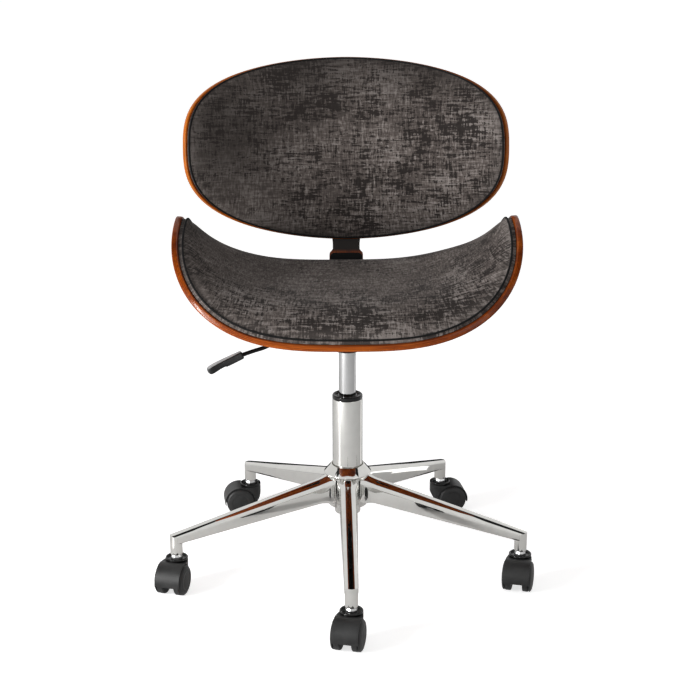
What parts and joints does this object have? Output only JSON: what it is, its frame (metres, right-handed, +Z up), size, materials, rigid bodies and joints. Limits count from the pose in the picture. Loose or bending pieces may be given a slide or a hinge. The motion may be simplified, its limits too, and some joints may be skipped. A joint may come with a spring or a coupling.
{
  "type": "desk chair",
  "caption": "Armless swivel desk chair with bentwood seat and back, velvet pads, gas lift and a chrome star base on casters.",
  "frame": {"origin": "on the floor under the middle of the chair's outline box", "axes": "+Z up; the sitter faces -Y and the backrest is at +Y; +X is on the sitter's left"},
  "size_m": [0.6219, 0.674, 0.824],
  "materials": {
    "chrome": "mirror chrome plate on steel tube",
    "polished_tube": "ground and polished steel tube",
    "plain_steel": "zinc-plated steel",
    "black_steel": "satin black powder coat",
    "black_plastic": "black moulded plastic",
    "lever_plastic": "black rod with a satin moulded paddle",
    "caster_plastic": "dark grey nylon, matt",
    "walnut": "glossy walnut veneer on bent plywood",
    "velvet": "charcoal crushed velvet",
    "welt": "black welt cord"
  },
  "bodies": {
    "base": {"base_hub": "chrome", "base_leg_1": "chrome", "base_leg_2": "chrome", "base_leg_3": "chrome", "base_leg_4": "chrome", "base_leg_5": "chrome", "caster_1_stem": "plain_steel", "caster_2_stem": "plain_steel", "caster_3_stem": "plain_steel", "caster_4_stem": "plain_steel", "caster_5_stem": "plain_steel", "lift_outer_tube": "chrome", "lift_guide_bush": "black_plastic", "lift_thrust_bearing": "plain_steel"},
    "lift_rod": {"lift_piston_rod": "plain_steel", "lift_bottom_clip": "plain_steel"},
    "seat": {"lift_inner_tube": "polished_tube", "seat_plate": "black_steel", "plate_bolt_1": "plain_steel", "plate_bolt_2": "plain_steel", "plate_bolt_3": "plain_steel", "plate_bolt_4": "plain_steel", "lever_pivot": "plain_steel", "seat_shell": "walnut", "seat_pad": "velvet", "seat_piping": "welt", "back_spine": "walnut", "spine_bracket": "black_steel", "spine_seat_bolt_1": "plain_steel", "spine_seat_bolt_2": "plain_steel", "spine_back_bolt_1": "plain_steel", "spine_back_bolt_2": "plain_steel", "back_shell": "walnut", "back_pad": "velvet", "back_piping": "welt"},
    "lever": {"lever_arm": "lever_plastic", "lever_handle": "lever_plastic"},
    "button": {"lift_release_button": "plain_steel"},
    "caster_1": {"caster_1_hood": "caster_plastic", "caster_1_axle": "plain_steel"},
    "caster_1_wheel_left": {"caster_1_wheel_left": "caster_plastic"},
    "caster_1_wheel_right": {"caster_1_wheel_right": "caster_plastic"},
    "caster_2": {"caster_2_hood": "caster_plastic", "caster_2_axle": "plain_steel"},
    "caster_2_wheel_left": {"caster_2_wheel_left": "caster_plastic"},
    "caster_2_wheel_right": {"caster_2_wheel_right": "caster_plastic"},
    "caster_3": {"caster_3_hood": "caster_plastic", "caster_3_axle": "plain_steel"},
    "caster_3_wheel_left": {"caster_3_wheel_left": "caster_plastic"},
    "caster_3_wheel_right": {"caster_3_wheel_right": "caster_plastic"},
    "caster_4": {"caster_4_hood": "caster_plastic", "caster_4_axle": "plain_steel"},
    "caster_4_wheel_left": {"caster_4_wheel_left": "caster_plastic"},
    "caster_4_wheel_right": {"caster_4_wheel_right": "caster_plastic"},
    "caster_5": {"caster_5_hood": "caster_plastic", "caster_5_axle": "plain_steel"},
    "caster_5_wheel_left": {"caster_5_wheel_left": "caster_plastic"},
    "caster_5_wheel_right": {"caster_5_wheel_right": "caster_plastic"}
  },
  "joints": [
    {"name": "seat_swivel", "type": "hinge", "parent": "base", "child": "lift_rod", "pos_m": [0.0044, 0.0123, 0.25], "axis": [0, 0, 1], "continuous": true},
    {"name": "height_lift", "type": "slide", "parent": "lift_rod", "child": "seat", "axis": [0, 0, 1], "range_m": [-0.055, 0.045]},
    {"name": "height_lever", "type": "hinge", "parent": "seat", "child": "lever", "pos_m": [-0.0356, 0.0123, 0.4313], "axis": [0, 1, 0], "range_deg": [0, 6]},
    {"name": "release_button", "type": "slide", "parent": "seat", "child": "button", "axis": [0, 0, -1], "range_m": [0, 0.0043], "stiffness_N_per_m": 400},
    {"name": "caster_1_swivel", "type": "hinge", "parent": "base", "child": "caster_1", "pos_m": [0.00803, -0.28488, 0.057], "axis": [0, 0, 1], "continuous": true},
    {"name": "caster_1_spin_left", "type": "hinge", "parent": "caster_1", "child": "caster_1_wheel_left", "pos_m": [0.00307, -0.30477, 0.025], "axis": [-0.9703, 0.2419, 0], "continuous": true},
    {"name": "caster_1_spin_right", "type": "hinge", "parent": "caster_1", "child": "caster_1_wheel_right", "pos_m": [0.00307, -0.30477, 0.025], "axis": [-0.9703, 0.2419, 0], "continuous": true},
    {"name": "caster_2_swivel", "type": "hinge", "parent": "base", "child": "caster_2", "pos_m": [0.28815, -0.07608, 0.057], "axis": [0, 0, 1], "continuous": true},
    {"name": "caster_2_spin_left", "type": "hinge", "parent": "caster_2", "child": "caster_2_wheel_left", "pos_m": [0.2832, -0.09597, 0.025], "axis": [-0.9703, 0.2419, 0], "continuous": true},
    {"name": "caster_2_spin_right", "type": "hinge", "parent": "caster_2", "child": "caster_2_wheel_right", "pos_m": [0.2832, -0.09597, 0.025], "axis": [-0.9703, 0.2419, 0], "continuous": true},
    {"name": "caster_3_swivel", "type": "hinge", "parent": "base", "child": "caster_3", "pos_m": [0.17614, 0.25486, 0.057], "axis": [0, 0, 1], "continuous": true},
    {"name": "caster_3_spin_left", "type": "hinge", "parent": "caster_3", "child": "caster_3_wheel_left", "pos_m": [0.19644, 0.25771, 0.025], "axis": [0.1392, -0.9903, 0], "continuous": true},
    {"name": "caster_3_spin_right", "type": "hinge", "parent": "caster_3", "child": "caster_3_wheel_right", "pos_m": [0.19644, 0.25771, 0.025], "axis": [0.1392, -0.9903, 0], "continuous": true},
    {"name": "caster_4_swivel", "type": "hinge", "parent": "base", "child": "caster_4", "pos_m": [-0.17321, 0.25059, 0.057], "axis": [0, 0, 1], "continuous": true},
    {"name": "caster_4_spin_left", "type": "hinge", "parent": "caster_4", "child": "caster_4_wheel_left", "pos_m": [-0.19351, 0.24774, 0.025], "axis": [-0.1392, 0.9903, 0], "continuous": true},
    {"name": "caster_4_spin_right", "type": "hinge", "parent": "caster_4", "child": "caster_4_wheel_right", "pos_m": [-0.19351, 0.24774, 0.025], "axis": [-0.1392, 0.9903, 0], "continuous": true},
    {"name": "caster_5_swivel", "type": "hinge", "parent": "base", "child": "caster_5", "pos_m": [-0.27711, -0.08299, 0.057], "axis": [0, 0, 1], "continuous": true},
    {"name": "caster_5_spin_left", "type": "hinge", "parent": "caster_5", "child": "caster_5_wheel_left", "pos_m": [-0.28276, -0.10269, 0.025], "axis": [-0.9613, 0.2756, 0], "continuous": true},
    {"name": "caster_5_spin_right", "type": "hinge", "parent": "caster_5", "child": "caster_5_wheel_right", "pos_m": [-0.28276, -0.10269, 0.025], "axis": [-0.9613, 0.2756, 0], "continuous": true}
  ],
  "couplings": [
    {"joint": "release_button", "follows": "height_lever", "m_per_rad": 0.04}
  ]
}
